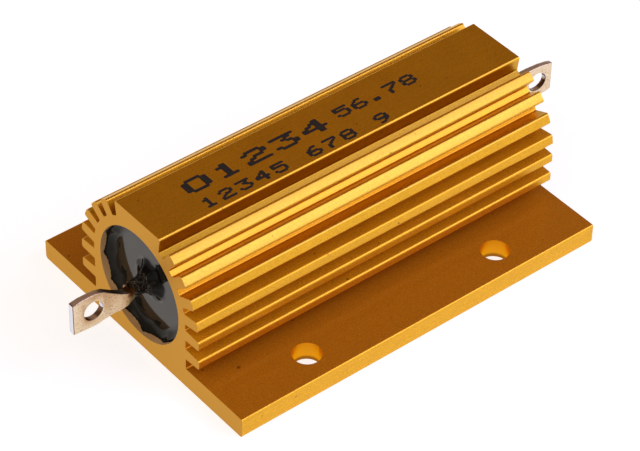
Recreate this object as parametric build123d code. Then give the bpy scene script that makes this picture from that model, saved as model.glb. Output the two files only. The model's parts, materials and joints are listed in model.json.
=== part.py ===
from build123d import *
import os
from math import cos, radians, sin, tan

# Chassis mount wirewound resistor, 100 W size, in a finned aluminium extrusion.
# Millimetres. +X runs along the extrusion, +Y across the mounting flanges, +Z up.
# The origin is the centre of the mounting face, the underside of the base.

# ---- Extrusion: barrel, base and marking land ----
body_length = 65.2
bore_diameter = 18.2
barrel_wall = 1.5
floor_under_bore = 2.3        # metal between the bore and the mounting face
base_thickness = 3.4
flange_width = 9.6            # of the base beyond the fin tips, on each side
base_edge_radius = 0.5        # on the two long edges that lie on the chassis
land_rise = 1.4               # the flat land on top, above the barrel's crown
land_width = 10.4
edge_radius = 0.3             # on the land and the base's upper edges

# ---- Extrusion: fins ----
fin_depth = 3.05              # from the barrel's side to the fin tips
crown_drop = 0.8              # centre of the radial fins' tip circle, below the bore axis
radial_slots = 4              # on each side of the land
first_slot_angle = 30.0       # from straight up, degrees
slot_pitch_angle = 15.0
slot_root_width = 1.05
slot_flare = 7.5              # each wall's draft from the slot's centre line, degrees
underside_height = 0.45       # root of the lowest radial fin's underside above the bore axis
underside_draft = 10.0        # that underside's rise towards its tip, degrees
first_level_slot = 1.1        # from that root down to the first level fin's
level_fin_root = 1.9          # thickness at the barrel
level_fin_draft = 3.3         # of each face, degrees
level_fin_pitch = 3.55
fin_tip_radius = 0.35
fin_root_radius = 0.2

# ---- Mounting holes ----
hole_spacing_x = 35.0
hole_edge_distance = 4.75     # hole centres inside the base's long edges
hole_diameter = 4.3           # close clearance for M4
hole_deburr = 0.3

# ---- Compound that fills the bore ----
recess_depth = 2.0            # compound's flat face below each end of the extrusion
meniscus_rise = 1.2           # how far the compound climbs the bore wall
meniscus_width = 1.8          # more than its rise
collar_root_wall = 0.6        # over the terminal's stem, at the flat face
collar_tip_wall = 0.3
collar_flare = 1.0            # of the collar's foot, on the flat face
compound_cover = 3.6          # over the end caps

# ---- Resistance element ----
core_diameter = 10.0
core_end_chamfer = 0.5
wire_diameter = 0.3
cap_wall = 0.5
cap_depth = 5.0               # how far a cap reaches over the core
cap_corner_chamfer = 0.4

# ---- Terminals ----
terminal_reach = 11.4         # tips beyond each end of the extrusion
stem_diameter = 2.0
blade_width = 5.8
blade_thickness = 1.0
blade_length = 4.0            # of full width, back from the tip
taper_length = 5.2            # from full width down to the round stem
blade_hole_diameter = 3.2
blade_hole_setback = 3.4      # hole centre behind the tip

# ---- Worked out from the above ----
bore_radius = bore_diameter / 2
bore_height = floor_under_bore + bore_radius
barrel_radius = bore_radius + barrel_wall
body_height = bore_height + barrel_radius + land_rise
fin_reach = barrel_radius + fin_depth
base_width = 2 * (fin_reach + flange_width)
crown_foot = bore_height + underside_height
level_fins = int((crown_foot - first_level_slot - base_thickness) / level_fin_pitch)
hole_spacing_y = base_width - 2 * hole_edge_distance
floor_x = body_length / 2 - recess_depth
cap_face_x = floor_x - compound_cover
core_length = 2 * (cap_face_x - cap_wall)
cap_rim_x = core_length / 2 - cap_depth
tip_x = body_length / 2 + terminal_reach
taper_end_x = tip_x - blade_length
stem_end_x = taper_end_x - taper_length
reach = body_height           # longer than any slot is deep
snap = 0.01                   # corners this near a level lie on it
on_end = (Align.CENTER, Align.CENTER, Align.MIN)


def about_bore(solid):
    """Lift what was made round the X axis up to the bore's axis."""
    return Pos(0, 0, bore_height) * solid


def both_sides(half):
    """A section and its mirror image across the extrusion's middle plane."""
    return half + mirror(half, Plane.YZ)


def polar(radius, angle, across=0.0):
    """A point at a radius and an angle from straight up round the bore, moved across it."""
    a = radians(angle)
    return (radius * sin(a) + across * cos(a), bore_height + radius * cos(a) - across * sin(a))


def drafted_tip(root_height, draft):
    """Where a fin's face meets the fin tips, from its height at the barrel's side."""
    return (fin_reach, root_height + fin_depth * tan(radians(draft)))


def radial_slot(angle):
    """One flared slot, its flat root a tangent to the barrel's outside."""
    root = slot_root_width / 2
    mouth = root + reach * tan(radians(slot_flare))
    return make_face(
        Polyline(
            polar(barrel_radius, angle, -root),
            polar(barrel_radius + reach, angle, -mouth),
            polar(barrel_radius + reach, angle, mouth),
            polar(barrel_radius, angle, root),
            close=True,
        )
    )


def crown_section():
    """The radial fins and the flat land between them, over the barrel's upper half."""
    underside = [(0, crown_foot), (barrel_radius, crown_foot), drafted_tip(crown_foot, underside_draft)]
    sides = [(fin_reach, body_height), (0, body_height)]
    band = make_face(Polyline(underside + sides, close=True))
    tip_circle = Pos(0, bore_height - crown_drop) * Circle(fin_reach)
    root = polar(barrel_radius, first_slot_angle, -slot_root_width / 2)
    over_root = (0, root[1])
    outside = polar(barrel_radius + reach, first_slot_angle)
    cuts = make_face(Polyline(root, outside, (0, outside[1]), over_root, close=True))
    for index in range(radial_slots):
        cuts += radial_slot(first_slot_angle + index * slot_pitch_angle)
    edge = (land_width / 2, body_height)
    land = make_face(Polyline(root, edge, (0, body_height), over_root, close=True))
    return (tip_circle & both_sides(band)) - both_sides(cuts) + both_sides(land)


def level_fin_section():
    """The fins that lie level beside the barrel, from the radial ones down towards the base."""
    fins = Sketch()
    for index in range(level_fins):
        top = crown_foot - first_level_slot - index * level_fin_pitch
        bottom = top - level_fin_root
        upper = [(0, top), (barrel_radius, top), drafted_tip(top, -level_fin_draft)]
        lower = [drafted_tip(bottom, level_fin_draft), (barrel_radius, bottom), (0, bottom)]
        fins += both_sides(make_face(Polyline(upper + lower, close=True)))
    return fins


def round_corners(section, corners, radius):
    """Fillet the section at those of its corners that lie where the given ones were."""
    places = [corner.center() for corner in corners]
    there = [c for c in section.vertices() if min((c.center() - p).length for p in places) < snap]
    return fillet(there, radius)


def housing_section():
    """The extrusion's whole section, drawn in Y and Z, with its corners as they leave the die."""
    base = Rectangle(base_width, base_thickness, align=(Align.CENTER, Align.MIN))
    barrel_sides = Rectangle(2 * barrel_radius, crown_foot, align=(Align.CENTER, Align.MIN))
    section = base + barrel_sides + level_fin_section() + crown_section()

    mid_fin = barrel_radius + fin_depth / 2
    soles = []
    upper_edges = []
    tips = []
    roots = []
    for corner in section.vertices():
        from_barrel_axis = Vector(corner.X, max(corner.Y - bore_height, 0)).length
        if corner.Y < snap:
            soles.append(corner)
        elif corner.Y > body_height - snap or abs(corner.X) > base_width / 2 - snap:
            upper_edges.append(corner)
        elif from_barrel_axis > mid_fin:
            tips.append(corner)
        else:
            roots.append(corner)
    section = round_corners(section, tips, fin_tip_radius)
    section = round_corners(section, roots, fin_root_radius)
    section = round_corners(section, upper_edges, edge_radius)
    return round_corners(section, soles, base_edge_radius)


def housing():
    """The finned body: one length of extrusion, bored by the die and drilled for four screws."""
    body = extrude(Plane.YZ * housing_section(), body_length / 2, both=True)
    body -= about_bore(Rot(0, 90, 0) * Cylinder(bore_radius, body_length))
    drill = Cylinder(hole_diameter / 2, 3 * base_thickness)
    body -= GridLocations(hole_spacing_x, hole_spacing_y, 2, 2) * drill
    rims = body.edges().filter_by(GeomType.CIRCLE).filter_by_position(Axis.Z, -snap, snap)
    return chamfer(rims, hole_deburr)


def core():
    """The ceramic rod that the wire is wound on."""
    rod = Rot(0, 90, 0) * Cylinder(core_diameter / 2, core_length)
    return about_bore(chamfer(rod.edges().filter_by(GeomType.CIRCLE), core_end_chamfer))


def winding():
    """Fine resistance wire, close wound in one layer between the caps: all its turns in one sleeve."""
    turns = Circle(core_diameter / 2 + wire_diameter) - Circle(core_diameter / 2)
    return about_bore(extrude(Plane.YZ * turns, cap_rim_x, both=True))


def end_cap():
    """A drawn steel cup pressed over the right-hand end of the rod."""
    cup = Cylinder(core_diameter / 2 + cap_wall, cap_wall + cap_depth, align=on_end)
    cup = Pos(cap_rim_x, 0, 0) * Rot(0, 90, 0) * cup
    corner = cup.edges().filter_by(GeomType.CIRCLE).sort_by(Axis.X)[-1]
    return about_bore(chamfer(corner, cap_corner_chamfer)) - core()


def terminal():
    """The right-hand terminal: a round stem welded to the cap, flattened to a blade with a hole."""
    stem_radius = stem_diameter / 2
    stem = Cylinder(stem_radius, stem_end_x - cap_face_x, align=on_end)
    spread = Cone(stem_radius, blade_width / 2, taper_length, align=on_end)
    flattened = Polyline(
        (stem_end_x, stem_radius),
        (taper_end_x, blade_thickness / 2),
        (taper_end_x, -blade_thickness / 2),
        (stem_end_x, -stem_radius),
        close=True,
    )
    taper = Pos(stem_end_x, 0, 0) * Rot(0, 90, 0) * spread
    taper &= extrude(make_face(flattened), blade_width, both=True)
    blade_section = Circle(blade_width / 2) & Rectangle(blade_thickness, blade_width)
    blade = extrude(Plane.YZ.offset(taper_end_x) * blade_section, blade_length)
    lug = Pos(cap_face_x, 0, 0) * Rot(0, 90, 0) * stem + taper + blade
    hole = Rot(90, 0, 0) * Cylinder(blade_hole_diameter / 2, 2 * stem_diameter)
    return about_bore(lug - Pos(tip_x - blade_hole_setback, 0, 0) * hole)


def compound_outline():
    """Half of the compound's section through the bore axis: its dished end, lip and collar."""
    collar_root = (floor_x, stem_diameter / 2 + collar_root_wall)
    collar_tip = (stem_end_x, stem_diameter / 2 + collar_tip_wall)
    rim = (floor_x, bore_radius - meniscus_width)
    lip = (floor_x + meniscus_rise, bore_radius)
    outline = Polyline((0, bore_radius), (0, 0), (stem_end_x, 0), collar_tip, collar_root, rim)
    outline += TangentArc(rim, lip, tangent=(0, 1))
    outline += Line(lip, (0, bore_radius))
    half = make_face(outline)
    foot = half.vertices().sort_by_distance(Vector(*collar_root))[0]
    return chamfer(foot, collar_flare)


def encapsulant(element):
    """Compound cast round the wound element, dished at both ends and climbing wall and stems."""
    half = compound_outline()
    return about_bore(revolve(half + mirror(half, Plane.YZ), Axis.X)) - element


cap = end_cap()
lug = terminal()
parts = {
    "ceramic_core": core(),
    "resistance_winding": winding(),
    "end_cap_left": mirror(cap, Plane.YZ),
    "end_cap_right": cap,
    "terminal_left": mirror(lug, Plane.YZ),
    "terminal_right": lug,
}
parts["encapsulant"] = encapsulant(list(parts.values()))
parts["housing"] = housing()

os.makedirs("parts", exist_ok=True)
for name, shape in parts.items():
    export_step(shape, f"parts/{name}.step")
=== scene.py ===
import json
import math

import bpy
from mathutils import Matrix, Vector


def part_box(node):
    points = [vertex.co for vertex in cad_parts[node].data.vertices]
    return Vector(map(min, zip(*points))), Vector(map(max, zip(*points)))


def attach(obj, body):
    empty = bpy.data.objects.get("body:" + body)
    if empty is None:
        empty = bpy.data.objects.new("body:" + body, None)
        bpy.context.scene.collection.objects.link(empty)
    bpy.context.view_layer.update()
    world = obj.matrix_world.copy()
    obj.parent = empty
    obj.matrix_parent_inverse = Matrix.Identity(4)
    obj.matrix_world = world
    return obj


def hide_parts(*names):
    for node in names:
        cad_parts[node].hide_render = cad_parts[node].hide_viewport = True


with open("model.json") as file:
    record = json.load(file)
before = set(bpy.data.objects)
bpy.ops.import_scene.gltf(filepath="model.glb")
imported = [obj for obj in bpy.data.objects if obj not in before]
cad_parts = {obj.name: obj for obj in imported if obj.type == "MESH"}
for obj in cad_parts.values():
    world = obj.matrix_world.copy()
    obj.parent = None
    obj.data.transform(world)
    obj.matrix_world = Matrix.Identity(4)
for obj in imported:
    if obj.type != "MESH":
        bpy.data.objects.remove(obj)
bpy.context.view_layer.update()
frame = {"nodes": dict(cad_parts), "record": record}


# ---- Ceramic core ----
# An extruded steatite rod, fired and left unglazed. It is buried in the compound.
MM = 0.001


def linear(hex_colour):
    """An sRGB hex colour as the linear colour that a shader takes."""
    channels = [int(hex_colour[i:i + 2], 16) / 255 for i in (1, 3, 5)]
    return (*(c / 12.92 if c <= 0.04045 else ((c + 0.055) / 1.055) ** 2.4 for c in channels), 1.0)


def connect(finish, node, sockets):
    """Links each socket that is given an output, and sets each one that is given a value."""
    for key, value in sockets.items():
        if isinstance(value, bpy.types.NodeSocket):
            finish.node_tree.links.new(value, node.inputs[key])
        else:
            node.inputs[key].default_value = value


def add(finish, kind, sockets, **settings):
    """Adds one node to a finish with its settings and sockets, and gives it back.

    A Mix node's sockets go by number. 0 is the share, and 2 and 3 are the plain numbers, 4 and 5 the
    vectors, and 6 and 7 the colours that it mixes, which come out at 0, 1 and 2.
    """
    node = finish.node_tree.nodes.new("ShaderNode" + kind)
    for name, value in settings.items():
        setattr(node, name, value)
    connect(finish, node, sockets)
    return node


def new_finish(name):
    """A material with a plain Principled shader, and that shader."""
    finish = bpy.data.materials.new(name)
    finish.use_nodes = True
    return finish, finish.node_tree.nodes["Principled BSDF"]


def finish_node(name, finish):
    """Gives a CAD node its finish."""
    materials = frame["nodes"][name].data.materials
    materials.clear()
    materials.append(finish)


steatite, shader = new_finish("steatite_unglazed")
place = add(steatite, "TexCoord", {}).outputs["Object"]
# Fired steatite is a chalky off-white with pale grey grain, and dead matt.
grain = add(steatite, "TexNoise", {"Vector": place, "Scale": 1 / (0.4 * MM), "Detail": 4.0}).outputs["Fac"]
tint = add(steatite, "Mix", {0: grain, 6: linear("#D8D2C2"), 7: linear("#F1EDE2")}, data_type="RGBA")
bump = add(steatite, "Bump", {"Height": grain, "Strength": 0.3, "Distance": 0.02 * MM})
connect(steatite, shader, {
    "Base Color": tint.outputs[2], "Roughness": 0.75, "Normal": bump.outputs["Normal"],
})
finish_node("ceramic_core", steatite)


# ---- Resistance winding ----
# Bare nickel alloy wire, wound close in one layer and oxidised so that its turns don't short.
wire_pitch_mm = 0.3

nickel_alloy, shader = new_finish("nickel_alloy_wire")
place = add(nickel_alloy, "TexCoord", {}).outputs["Object"]
# Painted shade darkens the groove between each two turns, at the wire's own pitch along the rod.
turns = add(
    nickel_alloy, "TexWave", {"Vector": place, "Scale": math.pi / 10 / (wire_pitch_mm * MM)},
    bands_direction="X", wave_profile="SIN",
).outputs["Fac"]
tint = add(nickel_alloy, "Mix", {0: turns, 6: linear("#4A423C"), 7: linear("#A39A90")}, data_type="RGBA")
bump = add(nickel_alloy, "Bump", {"Height": turns, "Strength": 0.8, "Distance": 0.1 * MM})
connect(nickel_alloy, shader, {
    "Base Color": tint.outputs[2], "Metallic": 1.0, "Roughness": 0.42, "Normal": bump.outputs["Normal"],
})
finish_node("resistance_winding", nickel_alloy)


# ---- End caps ----
# Cups drawn from nickel-plated steel and pressed over the rod's ends. The wire is welded to them.
plated_steel, shader = new_finish("drawn_plated_steel")
place = add(plated_steel, "TexCoord", {}).outputs["Object"]
# Drawing leaves fine lines along the cup, so the noise is stretched tenfold along X.
along = add(plated_steel, "Mapping", {"Vector": place, "Scale": (0.1, 1.0, 1.0)}).outputs["Vector"]
lines = add(plated_steel, "TexNoise", {
    "Vector": along, "Scale": 1 / (0.15 * MM), "Detail": 3.0,
}).outputs["Fac"]
tint = add(plated_steel, "Mix", {0: lines, 6: linear("#8F8B84"), 7: linear("#C9C6C0")}, data_type="RGBA")
rough = add(plated_steel, "MapRange", {"Value": lines, "To Min": 0.22, "To Max": 0.38}).outputs["Result"]
connect(plated_steel, shader, {"Base Color": tint.outputs[2], "Metallic": 1.0, "Roughness": rough})
for name in ("end_cap_left", "end_cap_right"):
    finish_node(name, plated_steel)


# ---- Terminals ----
# Tinned copper wire, its inner end welded to the cap and its outer end pressed flat, pierced and
# cropped to a solder lug. The heat of the welding and casting has burnt the near neck brown.
mounts = {mount["name"]: mount for mount in frame["record"]["mounts"]}
left_eye, right_eye = mounts["terminal_left_eye"], mounts["terminal_right_eye"]
bore_z_mm = left_eye["pos_m"][2] / MM
eye_radius_mm = left_eye["dims"]["r_mm"]
stem_radius_mm = 1.0
stem_from_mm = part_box("terminal_right")[0].x / MM
stem_to_mm = 34.6
long_edge_radius_mm = 0.2
crop_burr_mm = 0.14
eye_burr_mm = 0.06
neck_to_mm = 36.0           # how far out the heat has coloured it
punch_mm = 4.0              # longer than a lug is thick
hair_mm = 0.01              # how near to a face or an edge counts as on it


def begin_piece(name, add_primitive, scale=(1.0, 1.0, 1.0), **where):
    """Adds one primitive, the only thing selected, and applies its place, so its object is at the origin."""
    bpy.ops.object.select_all(action="DESELECT")
    add_primitive(**where)
    piece = bpy.context.object
    piece.name = piece.data.name = name
    piece.scale = scale
    bpy.ops.object.transform_apply(location=True, rotation=True, scale=True)
    return piece


def mm(*lengths):
    """A point or a size given in millimetres."""
    return Vector(lengths) * MM


def next_ring(step, stretch, centre):
    """Extrudes the selected ring or face by a step, then stretches it about its new centre."""
    bpy.ops.mesh.extrude_region_move(TRANSFORM_OT_translate={"value": step})
    bpy.ops.transform.resize(value=stretch, center_override=centre)


def select_edges(piece, wanted):
    """In edit mode, selects the edges for which wanted(one end, other end) is true."""
    bpy.ops.mesh.select_mode(type="EDGE")
    bpy.ops.mesh.select_all(action="DESELECT")
    bpy.ops.object.mode_set(mode="OBJECT")
    points = piece.data.vertices
    for edge in piece.data.edges:
        edge.select = wanted(*(points[i].co / MM for i in edge.vertices))
    bpy.ops.object.mode_set(mode="EDIT")


def apply_boolean(piece, tool, operation):
    """Joins a tool to a piece or cuts it out, and removes the tool."""
    boolean = piece.modifiers.new("cut", "BOOLEAN")
    boolean.operation = operation
    boolean.solver = "EXACT"
    boolean.object = tool
    bpy.ops.object.select_all(action="DESELECT")
    bpy.context.view_layer.objects.active = piece
    bpy.ops.object.modifier_apply(modifier=boolean.name)
    bpy.data.objects.remove(tool)


def smooth_piece(piece, sharp_angle):
    """Shades a piece smooth, except at edges that turn more than an angle in degrees."""
    bpy.ops.object.select_all(action="DESELECT")
    piece.select_set(True)
    bpy.context.view_layer.objects.active = piece
    bpy.ops.object.shade_smooth_by_angle(angle=math.radians(sharp_angle))


def make_terminal(name, node, end, stations, eye_x):
    """One terminal at the end of that sign. A station is x, centre y and z, half thickness, half width."""
    x, y, z, thick, wide = stations[0]
    lug = begin_piece(
        name, bpy.ops.mesh.primitive_plane_add, size=2.0, location=mm(end * x, y, z),
        rotation=(0.0, math.pi / 2, 0.0), scale=mm(wide, thick, 1.0),
    )
    bpy.ops.object.mode_set(mode="EDIT")
    bpy.ops.mesh.select_all(action="SELECT")
    for old, new in zip(stations, stations[1:]):
        step = mm(end * (new[0] - old[0]), new[1] - old[1], new[2] - old[2])
        next_ring(step, (1.0, new[3] / old[3], new[4] / old[4]), mm(end * new[0], new[1], new[2]))
    bpy.ops.mesh.select_all(action="SELECT")
    bpy.ops.mesh.normals_make_consistent(inside=False)
    # Pressing a round wire flat leaves its long edges rounded. They alone run along X.
    select_edges(lug, lambda a, b: abs(a.x - b.x) > 0.5)
    bpy.ops.mesh.bevel(offset=long_edge_radius_mm * MM, segments=4, affect="EDGES")
    # The cropped end keeps a small burr, not a radius.
    tip = stations[-1][0]
    select_edges(lug, lambda a, b: min(abs(a.x), abs(b.x)) > tip - hair_mm)
    bpy.ops.mesh.bevel(offset=crop_burr_mm * MM, segments=3, affect="EDGES")
    bpy.ops.object.mode_set(mode="OBJECT")
    stem = begin_piece(
        name + "_stem", bpy.ops.mesh.primitive_cylinder_add, vertices=48, radius=stem_radius_mm * MM,
        depth=(stem_to_mm - stem_from_mm) * MM, rotation=(0.0, math.pi / 2, 0.0),
        location=mm(end * (stem_from_mm + stem_to_mm) / 2, 0.0, bore_z_mm),
    )
    apply_boolean(lug, stem, "UNION")
    eye_y, eye_z = next((s[1], s[2]) for s in stations if s[0] > eye_x)
    punch = begin_piece(
        name + "_punch", bpy.ops.mesh.primitive_cylinder_add, vertices=72, radius=eye_radius_mm * MM,
        depth=punch_mm * MM, rotation=(math.pi / 2, 0.0, 0.0), location=mm(end * eye_x, eye_y, eye_z),
    )
    apply_boolean(lug, punch, "DIFFERENCE")
    bpy.ops.object.mode_set(mode="EDIT")

    def on_rim(a, b):
        away = [math.hypot(p.x - end * eye_x, p.z - eye_z) for p in (a, b)]
        return max(away) < eye_radius_mm + hair_mm and abs(a.y - b.y) < 0.1

    select_edges(lug, on_rim)
    bpy.ops.mesh.bevel(offset=eye_burr_mm * MM, segments=2, affect="EDGES")
    bpy.ops.object.mode_set(mode="OBJECT")
    smooth_piece(lug, 35)
    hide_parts(node)
    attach(lug, "root")
    return lug


left_lug = make_terminal("left_lug", "terminal_left", -1, (
    (33.8, 0.00, 11.40, 0.95, 0.95),
    (34.6, -0.30, 11.20, 0.85, 0.90),
    (35.3, -0.40, 10.98, 0.72, 1.17),
    (36.2, -0.30, 10.90, 0.62, 1.55),
    (37.3, -0.12, 11.10, 0.54, 1.90),
    (38.8, 0.00, 11.38, 0.50, 2.60),
    (40.0, 0.00, 11.45, 0.49, 2.90),
    (41.2, 0.00, 11.50, 0.50, 2.92),
    (42.6, 0.00, 11.55, 0.52, 2.86),
    (44.0, 0.00, 11.50, 0.54, 2.66),
), eye_x=-left_eye["pos_m"][0] / MM)
# The far lug was pierced a little further out.
right_lug = make_terminal("right_lug", "terminal_right", 1, (
    (33.8, 0.00, 11.40, 0.95, 0.95),
    (34.8, 0.05, 11.42, 0.84, 1.20),
    (35.6, 0.05, 11.48, 0.72, 1.65),
    (36.6, 0.02, 11.55, 0.62, 2.20),
    (38.0, -0.03, 11.62, 0.54, 2.80),
    (39.6, -0.10, 11.66, 0.49, 2.90),
    (41.6, -0.22, 11.70, 0.46, 2.86),
    (43.2, -0.36, 11.74, 0.44, 2.68),
    (44.0, -0.44, 11.78, 0.42, 2.46),
), eye_x=right_eye["pos_m"][0] / MM + 0.7)

tinned_copper, shader = new_finish("tinned_copper_heat_tinted")
place = add(tinned_copper, "TexCoord", {}).outputs["Object"]
# Dull tin over copper: warm silver in blotches a millimetre or two across, with fine brown specks.
blotches = add(tinned_copper, "TexNoise", {
    "Vector": place, "Scale": 1 / (1.6 * MM), "Detail": 5.0, "Roughness": 0.65,
}).outputs["Fac"]
tin = add(tinned_copper, "Mix", {0: blotches, 6: linear("#D2B283"), 7: linear("#F8EBD2")}, data_type="RGBA")
specks = add(tinned_copper, "TexNoise", {
    "Vector": place, "Scale": 1 / (0.25 * MM), "Detail": 3.0,
}).outputs["Fac"]
specks = add(tinned_copper, "MapRange", {
    "Value": specks, "From Min": 0.56, "From Max": 0.7, "To Max": 0.65,
}).outputs["Result"]
specked = add(tinned_copper, "Mix", {0: specks, 6: tin.outputs[2], 7: linear("#7A5A3E")}, data_type="RGBA")
# By facing, every arris along the pressed edges is painted dark as shade, and the flat of each edge, which
# faces up or down, is a pale tone.
normal = add(tinned_copper, "NewGeometry", {}).outputs["Normal"]
facing = add(tinned_copper, "VectorMath", {0: normal}, operation="ABSOLUTE").outputs["Vector"]
facing = add(tinned_copper, "SeparateXYZ", {"Vector": facing})
edge = add(tinned_copper, "MapRange", {"Value": facing.outputs["Z"], "From Min": 0.6, "From Max": 0.85})
tone = add(tinned_copper, "MapRange", {"Value": facing.outputs["Z"], "From Min": 0.85, "From Max": 0.98})
edge_tone = add(tinned_copper, "Mix", {
    0: tone.outputs["Result"], 6: linear("#4A3628"), 7: linear("#D8CABC"),
}, data_type="RGBA")
arris_shaded = add(tinned_copper, "Mix", {
    0: edge.outputs["Result"], 6: specked.outputs[2], 7: edge_tone.outputs[2],
}, data_type="RGBA")
# The cropped end face is painted a pale bluish white, a painted highlight, inside a darker band along its
# burr.
outward = facing.outputs["X"]
burr = add(tinned_copper, "MapRange", {"Value": outward, "From Min": 0.3, "From Max": 0.6})
burred = add(tinned_copper, "Mix", {
    0: burr.outputs["Result"], 6: arris_shaded.outputs[2], 7: linear("#7A5A44"),
}, data_type="RGBA")
bare = add(tinned_copper, "Math", {0: outward, 1: 0.97}, operation="GREATER_THAN").outputs["Value"]
cropped_highlight = add(tinned_copper, "Mix", {0: bare, 6: burred.outputs[2], 7: linear("#E4E6EE")}, data_type="RGBA")
# Up the neck the colour goes by height: darker along its top, heat-tint rust brown below that, and pale
# cream at the bottom, a painted highlight.
# The blotches make each line ragged.
axes = add(tinned_copper, "SeparateXYZ", {"Vector": place})
height = add(tinned_copper, "Math", {
    0: blotches, 1: 1.2 * MM, 2: axes.outputs["Z"],
}, operation="MULTIPLY_ADD").outputs["Value"]
upper = add(tinned_copper, "MapRange", {
    "Value": height, "From Min": (bore_z_mm + 0.3) * MM, "From Max": (bore_z_mm + 0.8) * MM,
}).outputs["Result"]
heat_tint_and_highlight = add(tinned_copper, "Mix", {0: upper, 6: linear("#FBE6B8"), 7: linear("#A8703C")}, data_type="RGBA")
dark_top = add(tinned_copper, "MapRange", {
    "Value": height, "From Min": (bore_z_mm + 1.0) * MM, "From Max": (bore_z_mm + 1.5) * MM,
}).outputs["Result"]
heat_tint_and_highlight = add(tinned_copper, "Mix", {0: dark_top, 6: heat_tint_and_highlight.outputs[2], 7: linear("#45341F")}, data_type="RGBA")
out = add(tinned_copper, "Math", {0: axes.outputs["X"]}, operation="ABSOLUTE").outputs["Value"]
out = add(tinned_copper, "Math", {
    0: blotches, 1: 1.5 * MM, 2: out,
}, operation="MULTIPLY_ADD").outputs["Value"]
burnt = add(tinned_copper, "MapRange", {
    "Value": out, "From Min": (neck_to_mm + 0.2) * MM, "From Max": (neck_to_mm - 0.2) * MM,
}).outputs["Result"]
neck = add(tinned_copper, "Mix", {0: burnt, 6: cropped_highlight.outputs[2], 7: heat_tint_and_highlight.outputs[2]}, data_type="RGBA")
rough = add(tinned_copper, "MapRange", {"Value": blotches, "To Min": 0.3, "To Max": 0.5}).outputs["Result"]
bump = add(tinned_copper, "Bump", {"Height": blotches, "Strength": 0.35, "Distance": 0.06 * MM})
connect(tinned_copper, shader, {
    "Base Color": neck.outputs[2], "Metallic": 1.0, "Roughness": rough, "Normal": bump.outputs["Normal"],
})
for lug in (left_lug, right_lug):
    lug.data.materials.append(tinned_copper)


# ---- Compound ----
# Black moulding compound, poured into the bore round the element from each end. It has set with a
# flat mirror surface, a ragged lip where it climbed the wall, and a lumpy scorched collar on each stem.
bore_radius_mm = 9.1
floor_x_mm = 30.6           # the flat mirror face
rim_radius_mm = 7.35        # where that face turns up into the lip
lip_rise_mm = 1.7
foot_radius_mm = 3.1        # of the collar, on that face
collar_radius_mm = 1.25
burnt_from_mm = 31.6        # where the collar starts to be lumpy and scorched
burnt_radius_mm = 2.2
dark_patch_radius_mm = 2.6
lump_mm = 0.5
lump_rise_mm = 0.55
straight_to_mm = 28.0       # last ring of the plain bore wall, under the lip
cap_from_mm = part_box("end_cap_right")[0].x / MM
cap_to_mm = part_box("end_cap_right")[1].x / MM
cap_radius_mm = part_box("end_cap_right")[1].z / MM - bore_z_mm
cap_corner_mm = 0.4
winding_radius_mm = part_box("resistance_winding")[1].y / MM
corners_round = 192
lip_steps = 10

# Half of the section, as x and radius, from the middle of the bore wall round to the middle of the
# cavity: wall, lip, floor, collar, stem, end cap, winding.
half_section = [(0.0, bore_radius_mm), (straight_to_mm, bore_radius_mm)]
for step in range(lip_steps, -1, -1):
    turn = math.pi / 2 * step / lip_steps
    film = rim_radius_mm + (bore_radius_mm - rim_radius_mm) * math.sin(turn)
    half_section.append((floor_x_mm + lip_rise_mm * (1.0 - math.cos(turn)), film))
half_section += [(floor_x_mm, radius) for radius in (6.6, 5.6, 4.6, 3.8, foot_radius_mm)]
half_section += [(30.65, 2.9), (30.85, 2.5), (31.1, 2.15), (31.45, 1.85), (31.8, 1.6), (32.1, 1.4)]
# Rings 0.2 mm apart let the collar be lumpy.
half_section += [(32.3 + 0.2 * step, collar_radius_mm) for step in range(6)]
half_section += [(33.5, 1.22), (33.7, 1.18), (33.9, 1.12), (34.1, 1.06)]
half_section += [(34.0, stem_radius_mm), (cap_to_mm, stem_radius_mm)]
half_section += [(cap_to_mm, cap_radius_mm - cap_corner_mm), (cap_to_mm - cap_corner_mm, cap_radius_mm)]
half_section += [(cap_from_mm, cap_radius_mm), (cap_from_mm, winding_radius_mm), (0.0, winding_radius_mm)]
section = half_section + [(-x, radius) for x, radius in reversed(half_section[1:-1])]

compound = begin_piece(
    "cast_compound", bpy.ops.mesh.primitive_circle_add, vertices=corners_round,
    radius=bore_radius_mm * MM, location=mm(0, 0, bore_z_mm), rotation=(0.0, math.pi / 2, 0.0),
)
bpy.ops.object.mode_set(mode="EDIT")
bpy.ops.mesh.select_all(action="SELECT")
for (old_x, old_radius), (x, radius) in zip(section, section[1:]):
    stretch = radius / old_radius
    next_ring(mm(x - old_x, 0, 0), (1.0, stretch, stretch), mm(x, 0, bore_z_mm))


def on_first_or_last_ring(a, b):
    """True for the edges of the first ring and of the last one, which lie next to each other."""
    on_wall = min(math.hypot(p.y, p.z - bore_z_mm) for p in (a, b)) > bore_radius_mm - 0.1
    first = all(abs(p.x) < hair_mm for p in (a, b))
    last = all(abs(p.x + straight_to_mm) < hair_mm for p in (a, b))
    return on_wall and (first or last)


select_edges(compound, on_first_or_last_ring)
bpy.ops.mesh.bridge_edge_loops()
bpy.ops.mesh.select_all(action="SELECT")
bpy.ops.mesh.normals_make_consistent(inside=False)
bpy.ops.object.mode_set(mode="OBJECT")


def lip_share(angle, end):
    """How high the lip climbs at an angle round the bore: round bays that meet in points, never alike."""
    along = 6.0 * angle + 0.18 + 0.3 * math.sin(2.0 * angle - 1.2 * end)
    point = (1.0 - abs(math.sin(along))) ** 1.3
    return 0.6 + 0.03 * math.sin(5.0 * angle - end) + (0.34 + 0.08 * math.sin(3.0 * angle)) * point


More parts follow.
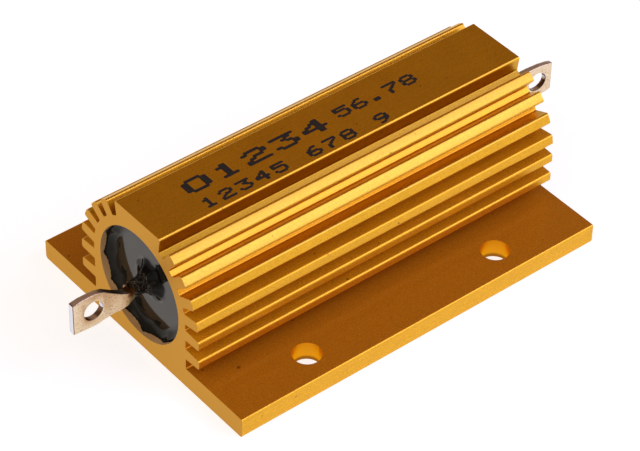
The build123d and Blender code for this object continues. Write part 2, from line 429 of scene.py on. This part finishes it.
collars = compound.vertex_groups.new(name="collars")
for vertex in compound.data.vertices:
    x, y, z = vertex.co / MM
    z -= bore_z_mm
    radius = math.hypot(y, z)
    end = math.copysign(1.0, x)
    turn = math.atan2(z, y)
    if abs(x) > floor_x_mm and radius > rim_radius_mm - hair_mm:
        rise = (abs(x) - floor_x_mm) * lip_share(turn, end)
        vertex.co.x = end * (floor_x_mm + rise) * MM
    elif abs(x) > floor_x_mm - hair_mm and stem_radius_mm + 0.05 < radius < foot_radius_mm + hair_mm:
        rough_share = min(1.0, max(0.0, (abs(x) - burnt_from_mm) / 0.5))
        collars.add([vertex.index], rough_share, "REPLACE")
        # The collar's smooth foot runs out further in some directions than in others.
        spread = 0.12 * math.sin(3.0 * turn - 2.8) + 0.06 * math.sin(7.0 * turn)
        spread = 1.0 + (1.0 - rough_share) * spread
        vertex.co.y = y * spread * MM
        vertex.co.z = (bore_z_mm + z * spread) * MM
lumps = bpy.data.textures.new("lumps", "CLOUDS")
lumps.noise_scale = lump_mm * MM
lumps.noise_depth = 2
swollen = compound.modifiers.new("lumps", "DISPLACE")
swollen.texture = lumps
swollen.texture_coords = "LOCAL"
swollen.vertex_group = collars.name
swollen.strength = lump_rise_mm * MM
bpy.context.view_layer.objects.active = compound
bpy.ops.object.modifier_apply(modifier=swollen.name)
smooth_piece(compound, 40)
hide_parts("encapsulant")
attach(compound, "root")


def distance_from_axis(finish, place, centre, across):
    """How far each place is from an axis through a centre. Across is 1 across the axis and 0 along it."""
    away = add(finish, "VectorMath", {0: place, 1: centre}, operation="SUBTRACT").outputs["Vector"]
    away = add(finish, "VectorMath", {0: away, 1: across}, operation="MULTIPLY").outputs["Vector"]
    return add(finish, "VectorMath", {0: away}, operation="LENGTH").outputs["Value"]


cast_epoxy, shader = new_finish("black_casting_epoxy")
place = add(cast_epoxy, "TexCoord", {}).outputs["Object"]
radius = distance_from_axis(cast_epoxy, place, mm(0, 0, bore_z_mm), (0.0, 1.0, 1.0))
# The collar is burnt granular and brownish, and the mirror surface is clean.
near = add(cast_epoxy, "Math", {0: radius, 1: burnt_radius_mm * MM}, operation="LESS_THAN").outputs["Value"]
out = add(cast_epoxy, "SeparateXYZ", {"Vector": place}).outputs["X"]
out = add(cast_epoxy, "Math", {0: out}, operation="ABSOLUTE").outputs["Value"]
burnt = add(cast_epoxy, "MapRange", {
    "Value": out, "From Min": burnt_from_mm * MM, "From Max": (burnt_from_mm + 0.4) * MM, "To Max": near,
}).outputs["Result"]
grains = add(cast_epoxy, "TexNoise", {
    "Vector": place, "Scale": 1 / (0.22 * MM), "Detail": 4.0, "Roughness": 0.7,
}).outputs["Fac"]
tint = add(cast_epoxy, "MapRange", {"Value": grains, "From Min": 0.5, "From Max": 0.66})
scorched = add(cast_epoxy, "Mix", {
    0: tint.outputs["Result"], 6: linear("#120E0B"), 7: linear("#8A8272"),
}, data_type="RGBA")
# A ragged patch round the stem is painted blacker and mirrors little, a painted dark reflection of the
# collar.
ragged = add(cast_epoxy, "TexNoise", {
    "Vector": place, "Scale": 1 / (1.5 * MM), "Detail": 1.0,
}).outputs["Fac"]
ragged = add(cast_epoxy, "Math", {
    0: ragged, 1: -1.2 * MM, 2: radius,
}, operation="MULTIPLY_ADD").outputs["Value"]
outside_dark_patch = add(cast_epoxy, "MapRange", {
    "Value": ragged, "From Min": (dark_patch_radius_mm - 0.1) * MM, "From Max": (dark_patch_radius_mm + 0.1) * MM,
}).outputs["Result"]
black = add(cast_epoxy, "Mix", {0: outside_dark_patch, 6: linear("#0C0B0A"), 7: linear("#22221E")}, data_type="RGBA")
colour = add(cast_epoxy, "Mix", {0: burnt, 6: black.outputs[2], 7: scorched.outputs[2]}, data_type="RGBA")
# Where it climbs the wall it mirrors little too, so it shows black, a painted dark reflection.
gloss = add(cast_epoxy, "MapRange", {
    "Value": radius, "To Min": 0.12, "To Max": 0.42,
    "From Min": (bore_radius_mm - 1.0) * MM, "From Max": (bore_radius_mm - 2.0) * MM,
}).outputs["Result"]
gloss = add(cast_epoxy, "Mix", {0: outside_dark_patch, 2: 0.1, 3: gloss}).outputs[0]
# Poured epoxy cures with faint flow waves, a few millimetres long, that bend what it mirrors.
waves = add(cast_epoxy, "TexNoise", {"Vector": place, "Scale": 1 / (4 * MM), "Detail": 1.0}).outputs["Fac"]
rough = add(cast_epoxy, "MapRange", {"Value": burnt, "To Min": 0.07, "To Max": 0.42}).outputs["Result"]
flow = add(cast_epoxy, "Bump", {"Height": waves, "Strength": 0.15, "Distance": 0.1 * MM}).outputs["Normal"]
crust = add(cast_epoxy, "Bump", {
    "Height": grains, "Strength": burnt, "Distance": 0.25 * MM, "Normal": flow,
})
connect(cast_epoxy, shader, {
    "Base Color": colour.outputs[2], "Roughness": rough, "Normal": crust.outputs["Normal"],
    "Specular IOR Level": gloss,
})
shader.inputs["IOR"].default_value = 1.5
shader.inputs["Specular Tint"].default_value = linear("#F3ECDD")
compound.data.materials.append(cast_epoxy)


# ---- Housing ----
# One length of aluminium extrusion, sawn off, drilled and then gold anodised all over. The die
# leaves faint lines along it, and its ends stay as the saw left them.
half_length_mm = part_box("housing")[1].x / MM
land_z_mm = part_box("housing")[1].z / MM
holes = mounts["mounting_holes"]["dims"]
hole_x_mm, hole_y_mm = holes["spacing_x_mm"] / 2, holes["spacing_y_mm"] / 2
slot_from_mm = 10.9         # the radial slots' walls, outwards from the bore's axis
slot_to_mm = 12.5
slot_middle_mm = (slot_from_mm + slot_to_mm) / 2
flange_top_mm = 4.0         # just over the flanges' upper faces
level_fins_top_mm = 14.0    # just over the level fins
side_fins_top_mm = 17.0     # just over the radial fins that lean most
deep_slots_z_mm = 20.0      # above it are only the two slots that flank the land

anodised, shader = new_finish("gold_anodised_aluminium")
place = add(anodised, "TexCoord", {}).outputs["Object"]
axes = add(anodised, "SeparateXYZ", {"Vector": place}).outputs
height = axes["Z"]
out = add(anodised, "Math", {0: axes["X"]}, operation="ABSOLUTE").outputs["Value"]
radius = distance_from_axis(anodised, place, mm(0, 0, bore_z_mm), (0.0, 1.0, 1.0))
normal = add(anodised, "NewGeometry", {}).outputs["Normal"]
upward = add(anodised, "SeparateXYZ", {"Vector": normal}).outputs["Z"]

# Die lines run the whole length, a fraction of a millimetre apart.
stretched = add(anodised, "Mapping", {"Vector": place, "Scale": (0.02, 1.0, 1.0)}).outputs["Vector"]
die_lines = add(anodised, "TexNoise", {
    "Vector": stretched, "Scale": 1 / (0.35 * MM), "Detail": 3.0, "Roughness": 0.6,
}).outputs["Fac"]
lined = add(anodised, "MapRange", {
    "Value": die_lines, "From Min": 0.3, "From Max": 0.7, "To Min": 0.93,
}).outputs["Result"]
# The etch before anodising leaves a fine satin grain, drawn here at twice its real size so that it shows.
etch = add(anodised, "TexNoise", {"Vector": place, "Scale": 1 / (0.16 * MM), "Detail": 2.0}).outputs["Fac"]
speckled = add(anodised, "MapRange", {
    "Value": etch, "From Min": 0.3, "From Max": 0.7, "To Min": 0.8, "To Max": 1.14,
}).outputs["Result"]
# Anodising takes the dye a little unevenly, in clouds some millimetres across.
clouds = add(anodised, "TexNoise", {"Vector": place, "Scale": 1 / (5 * MM), "Detail": 4.0}).outputs["Fac"]
gold = add(anodised, "Mix", {
    0: clouds, 6: linear("#E0A51A"), 7: linear("#EEB324"),
}, data_type="RGBA").outputs[2]
gold = add(anodised, "VectorMath", {0: gold, 1: lined}, operation="MULTIPLY").outputs["Vector"]
gold = add(anodised, "VectorMath", {0: gold, 1: speckled}, operation="MULTIPLY").outputs["Vector"]

# On the radial slots' walls the colour is painted a little darker, as shade in the slots.
shade = add(anodised, "Math", {0: radius, 1: slot_middle_mm * MM}, operation="SUBTRACT").outputs["Value"]
shade = add(anodised, "Math", {0: shade}, operation="ABSOLUTE").outputs["Value"]
shade = add(anodised, "MapRange", {
    "Value": shade, "To Min": 0.8, "To Max": 1.0,
    "From Min": (slot_to_mm - slot_middle_mm) * MM, "From Max": (slot_to_mm - slot_middle_mm + 0.2) * MM,
}).outputs["Result"]
on_land = add(anodised, "Math", {
    0: height, 1: (land_z_mm - 0.1) * MM,
}, operation="GREATER_THAN").outputs["Value"]
low = add(anodised, "Math", {0: height, 1: level_fins_top_mm * MM}, operation="LESS_THAN").outputs["Value"]
shade = add(anodised, "Math", {0: shade, 1: on_land}, operation="MAXIMUM").outputs["Value"]
shade = add(anodised, "Math", {0: shade, 1: low}, operation="MAXIMUM").outputs["Value"]
gold = add(anodised, "VectorMath", {0: gold, 1: shade}, operation="MULTIPLY").outputs["Vector"]
# The floors of the two slots beside the land are painted darker still, as shade deep in those slots.
high = add(anodised, "Math", {0: height, 1: deep_slots_z_mm * MM}, operation="GREATER_THAN").outputs["Value"]
floors = add(anodised, "Math", {0: radius, 1: slot_from_mm * MM}, operation="LESS_THAN").outputs["Value"]
floors = add(anodised, "Math", {0: floors, 1: high}, operation="MULTIPLY").outputs["Value"]
floor_shade = add(anodised, "VectorMath", {0: gold, 1: (0.7, 0.74, 0.5)}, operation="MULTIPLY").outputs["Vector"]
gold = add(anodised, "Mix", {0: floors, 4: gold, 5: floor_shade}, data_type="VECTOR").outputs[1]
# The tips of the upper radial fins are painted a paler yellow, a painted highlight.
tips = add(anodised, "Math", {
    0: radius, 1: (slot_to_mm + 0.25) * MM,
}, operation="GREATER_THAN").outputs["Value"]
side = add(anodised, "Math", {0: height, 1: side_fins_top_mm * MM}, operation="LESS_THAN").outputs["Value"]
side = add(anodised, "Math", {0: on_land, 1: side}, operation="MAXIMUM").outputs["Value"]
tips = add(anodised, "Math", {0: tips, 1: side}, operation="SUBTRACT", use_clamp=True).outputs["Value"]
tip_highlight = add(anodised, "VectorMath", {0: gold, 1: (0.98, 1.06, 2.4)}, operation="MULTIPLY").outputs["Vector"]
gold = add(anodised, "Mix", {0: tips, 4: gold, 5: tip_highlight}, data_type="VECTOR").outputs[1]
# The level fins' and the flanges' upper faces are matt, and the flanges' upper faces are painted darker, as
# painted shade.
upper = add(anodised, "MapRange", {"Value": upward, "From Min": 0.9, "From Max": 0.97}).outputs["Result"]
ledges = add(anodised, "Math", {0: upper, 1: low}, operation="MULTIPLY").outputs["Value"]
flanges = add(anodised, "Math", {0: height, 1: flange_top_mm * MM}, operation="LESS_THAN").outputs["Value"]
flanges = add(anodised, "Math", {0: upper, 1: flanges}, operation="MULTIPLY").outputs["Value"]
flange_shade = add(anodised, "VectorMath", {0: linear("#CC8A1C")[:3], 1: speckled}, operation="MULTIPLY")
gold = add(anodised, "Mix", {0: flanges, 6: gold, 7: flange_shade.outputs["Vector"]}, data_type="RGBA").outputs[2]
# Handling has also left a few dark specks, half a millimetre across.
specks = add(anodised, "TexNoise", {"Vector": place, "Scale": 1 / (0.9 * MM), "Detail": 1.0}).outputs["Fac"]
specks = add(anodised, "MapRange", {
    "Value": specks, "From Min": 0.76, "From Max": 0.8, "To Max": 0.6,
}).outputs["Result"]
gold = add(anodised, "Mix", {0: specks, 6: gold, 7: linear("#5A3208")}, data_type="RGBA").outputs[2]

# The drill left the holes' walls smooth, so the gold is richer there; near the underside they are painted
# browner, as shade.
# The base is folded on to one quarter, so one hole stands for all four.
quarter = add(anodised, "VectorMath", {0: place}, operation="ABSOLUTE").outputs["Vector"]
drilled = distance_from_axis(anodised, quarter, mm(hole_x_mm, hole_y_mm, 0), (1.0, 1.0, 0.0))
drilled = add(anodised, "Math", {
    0: drilled, 1: (holes["hole_r_mm"] + 2 * hair_mm) * MM,
}, operation="LESS_THAN").outputs["Value"]
hole_wall_shaded = add(anodised, "MapRange", {"Value": height, "From Min": 0.7 * MM, "From Max": 1.1 * MM})
hole_wall_shaded = add(anodised, "Mix", {
    0: hole_wall_shaded.outputs["Result"], 6: linear("#A0661A"), 7: linear("#F0A41C"),
}, data_type="RGBA").outputs[2]
colour = add(anodised, "Mix", {0: drilled, 6: gold, 7: hole_wall_shaded}, data_type="RGBA").outputs[2]
# The sawn ends are duller and paler, crossed by fine saw marks.
sawn = add(anodised, "Math", {
    0: out, 1: (half_length_mm - hair_mm) * MM,
}, operation="GREATER_THAN").outputs["Value"]
colour = add(anodised, "Mix", {0: sawn, 6: colour, 7: linear("#CC9A4C")}, data_type="RGBA").outputs[2]
saw_marks = add(anodised, "TexWave", {
    "Vector": place, "Scale": 1 / (0.5 * MM) * math.tau / 20, "Distortion": 3.0, "Detail": 2.0,
    "Detail Scale": 0.6,
}, bands_direction="DIAGONAL").outputs["Fac"]
# The bore is left as the die made it, matt and stained by the compound.
bore = add(anodised, "Math", {
    0: radius, 1: (bore_radius_mm + hair_mm) * MM,
}, operation="LESS_THAN").outputs["Value"]
stain = add(anodised, "Mix", {
    0: clouds, 6: linear("#B87838"), 7: linear("#FFE0A8"),
}, data_type="RGBA").outputs[2]
colour = add(anodised, "Mix", {0: bore, 6: colour, 7: stain}, data_type="RGBA").outputs[2]
metal = add(anodised, "MapRange", {"Value": bore, "To Min": 1.0, "To Max": 0.2}).outputs["Result"]

# The etched faces are satin, and the ledges, the sawn ends and the bore are duller.
rough = add(anodised, "MapRange", {"Value": clouds, "To Min": 0.36, "To Max": 0.42}).outputs["Result"]
for faces, roughness in ((ledges, 0.8), (sawn, 0.5), (bore, 0.7)):
    rough = add(anodised, "Mix", {0: faces, 2: rough, 3: roughness}).outputs[0]
# Sealing the dye in leaves a thin clear film, which the sawn ends and the holes are too dull to show.
coat = add(anodised, "Math", {0: sawn, 1: drilled}, operation="MAXIMUM").outputs["Value"]
coat = add(anodised, "MapRange", {"Value": coat, "To Min": 0.4, "To Max": 0.0}).outputs["Result"]
relief = add(anodised, "Mix", {0: sawn, 2: etch, 3: saw_marks}).outputs[0]
lines = add(anodised, "Bump", {
    "Height": die_lines, "Strength": 0.25, "Distance": 0.01 * MM,
}).outputs["Normal"]
grain = add(anodised, "Bump", {
    "Height": relief, "Strength": 0.2, "Distance": 0.01 * MM, "Normal": lines,
}).outputs["Normal"]
connect(anodised, shader, {
    "Base Color": colour, "Metallic": metal, "Roughness": rough, "Normal": grain,
    "Coat Weight": coat, "Coat Roughness": 0.25,
})
# The dye colours what it mirrors at a glancing angle too.
shader.inputs["Specular Tint"].default_value = linear("#FFE7AA")
finish_node("housing", anodised)


# ---- Marking ----
# Black ink, jetted on to the land in coarse dots as the part went by on a belt. The print head was a
# little askew, so both rows of plain figures fall towards the right. The first group is printed double.
ink_z_mm = land_z_mm + 0.006
ink_cell_mm = 0.1
row_fall = 0.019            # of a row, for each unit along it
# Each figure is five columns of seven dots, written row by row.
FIGURES = {
    "0": "01110 10001 10001 10001 10001 10001 01110",
    "1": "00100 01100 00100 00100 00100 00100 01110",
    "2": "01110 10001 00001 00110 01000 10000 11111",
    "3": "11111 00010 00100 00010 00001 10001 01110",
    "4": "00010 00110 01010 10010 11111 00010 00010",
    "5": "11111 10000 11110 00001 00001 10001 01110",
    "6": "00110 01000 10000 11110 10001 10001 01110",
    "7": "11111 00001 00010 00100 01000 01000 01000",
    "8": "01110 10001 10001 01110 10001 10001 01110",
    "9": "01110 10001 10001 01111 00001 00010 01100",
    ".": "00000 00000 00000 00000 00000 01100 01100",
}


def select_faces(piece, wanted):
    """In edit mode, selects the faces for which wanted(centre) is true."""
    bpy.ops.mesh.select_mode(type="FACE")
    bpy.ops.mesh.select_all(action="DESELECT")
    bpy.ops.object.mode_set(mode="OBJECT")
    for face in piece.data.polygons:
        face.select = wanted(face.center / MM)
    bpy.ops.object.mode_set(mode="EDIT")


def print_figure(figure, left, bottom, wide, high, dot):
    """One figure in ink: a fine flat grid with all but its squarish dots cut away.

    The dot is its half width and half height.
    """
    across, up = dot
    column_pitch, row_pitch = (wide - 2 * across) / 4, (high - 2 * up) / 6
    dots = [
        (left + across + column * column_pitch, bottom + high - up - row * row_pitch)
        for row, marks in enumerate(FIGURES[figure].split())
        for column, mark in enumerate(marks)
        if mark == "1"
    ]

    def bare(centre):
        return all(abs((centre.x - x) / across) ** 3 + abs((centre.y - y) / up) ** 3 > 1 for x, y in dots)

    patch = begin_piece(
        "marking", bpy.ops.mesh.primitive_grid_add, size=1.0, x_subdivisions=round(wide / ink_cell_mm),
        y_subdivisions=round(high / ink_cell_mm), scale=mm(wide, high, 1.0),
        location=mm(left + wide / 2, bottom + high / 2, ink_z_mm),
    )
    bpy.ops.object.mode_set(mode="EDIT")
    select_faces(patch, bare)
    bpy.ops.mesh.delete(type="FACE")
    bpy.ops.mesh.select_all(action="SELECT")
    bpy.ops.mesh.vertices_smooth(factor=0.5, repeat=2, zaxis=False)
    bpy.ops.object.mode_set(mode="OBJECT")
    return patch


def print_row(figures, left, bottom, pitch, wide, high, dot):
    """A group of figures, each a pitch further right and a little lower. A space leaves a gap."""
    return [
        print_figure(figure, left + i * pitch, bottom - row_fall * i * pitch, wide, high, dot)
        for i, figure in enumerate(figures)
        if figure != " "
    ]


rows_from_mm = -23.8
patches = print_row("01234", rows_from_mm, -0.45, pitch=5.1, wide=4.3, high=3.0, dot=(0.6, 0.3))
patches += print_row("56.78", 2.9, -0.15, pitch=3.0, wide=2.6, high=2.3, dot=(0.36, 0.26))
patches += print_row("12345 678 9", rows_from_mm, -4.1, pitch=3.03, wide=2.4, high=2.2, dot=(0.32, 0.26))
bpy.ops.object.select_all(action="DESELECT")
for patch in patches:
    patch.select_set(True)
marking = patches[0]
bpy.context.view_layer.objects.active = marking
bpy.ops.object.join()
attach(marking, "root")

jetted_ink, shader = new_finish("jetted_black_ink")
place = add(jetted_ink, "TexCoord", {}).outputs["Object"]
# The ink lies thin in spots and lets a little of the gold through.
thin = add(jetted_ink, "TexNoise", {"Vector": place, "Scale": 1 / (0.4 * MM), "Detail": 3.0}).outputs["Fac"]
thin = add(jetted_ink, "MapRange", {"Value": thin, "From Min": 0.55, "From Max": 0.75}).outputs["Result"]
colour = add(jetted_ink, "Mix", {0: thin, 6: linear("#0E0B0A"), 7: linear("#2E1C0C")}, data_type="RGBA")
connect(jetted_ink, shader, {"Base Color": colour.outputs[2], "Roughness": 0.55})
marking.data.materials.append(jetted_ink)


# ---- Studio ----
# A sheet of white paper under the part, a soft lamp before it on the right, a wider and dimmer one
# high on the left, and dim warm walls.
paper_size = 6.0            # metres, so that its edges are out of sight
paper_glow = 0.77           # brings the shadowless paper up to white for the eye and in mirrors

floor = begin_piece(
    "paper", bpy.ops.mesh.primitive_plane_add, size=paper_size, location=mm(0, 0, -hair_mm),
)
paper, shader = new_finish("white_paper")
shader.inputs["Base Color"].default_value = linear("#ADADAD")
shader.inputs["Roughness"].default_value = 0.9
shader.inputs["Emission Color"].default_value = linear("#FFFFFF")
rays = add(paper, "LightPath", {}).outputs
seen = rays["Is Camera Ray"]
for ray in ("Is Glossy Ray", "Is Transmission Ray"):
    seen = add(paper, "Math", {0: seen, 1: rays[ray]}, operation="MAXIMUM").outputs["Value"]
glow = add(paper, "Math", {0: seen, 1: paper_glow}, operation="MULTIPLY")
connect(paper, shader, {"Emission Strength": glow.outputs["Value"]})
floor.data.materials.append(paper)

world = bpy.data.worlds.new("walls")
bpy.context.scene.world = world
world.use_nodes = True
# The walls are bright to a little above the table, and dim and warm over that.
toward = add(world, "TexCoord", {}).outputs["Generated"]
height = add(world, "SeparateXYZ", {"Vector": toward}).outputs["Z"]
dim = add(world, "MapRange", {"Value": height, "From Min": 0.08, "From Max": 0.35}).outputs["Result"]
walls = add(world, "Mix", {0: dim, 6: linear("#F9F9F9"), 7: linear("#8C6B50")}, data_type="RGBA")
connect(world, world.node_tree.nodes["Background"], {"Color": walls.outputs[2]})


def add_softbox(name, direction, distance, size, radiance, colour):
    """A square soft lamp that looks at the part, with the radiance of its face."""
    place = Vector(direction).normalized() * distance
    bpy.ops.object.light_add(type="AREA", location=place, rotation=place.to_track_quat("Z", "Y").to_euler())
    lamp = bpy.context.object
    lamp.name = name
    lamp.data.size = size
    lamp.data.energy = radiance * math.pi * size ** 2
    lamp.data.color = colour


# The key lamp is bluish, as daylight is.
add_softbox("key", (0.48, -0.60, 0.62), distance=0.8, size=0.64, radiance=2.2, colour=(1.0, 1.0, 1.5))
add_softbox("top", (-0.6, -0.2, 0.78), distance=0.9, size=0.9, radiance=1.1, colour=(1.0, 1.0, 1.0))

# A long lens looks down on the part's near left corner.
aim_mm = (0.0, 0.0, 10.0)
camera_azimuth, camera_elevation, camera_roll = -40.02, 41.44, 1.46
camera_distance_mm = 398.45
camera_right_mm, camera_up_mm = -0.258, -3.942
lens_mm = 155.41
turn = Matrix.Rotation(math.radians(camera_azimuth), 3, "Z")
turn = turn @ Matrix.Rotation(math.radians(90.0 - camera_elevation), 3, "X")
turn = turn @ Matrix.Rotation(math.radians(camera_roll), 3, "Z")
place = mm(*aim_mm) + turn @ mm(camera_right_mm, camera_up_mm, camera_distance_mm)
bpy.ops.object.camera_add(location=place, rotation=turn.to_euler())
camera = bpy.context.object
camera.data.lens = lens_mm
bpy.context.scene.camera = camera
bpy.context.scene.view_settings.view_transform = "Standard"
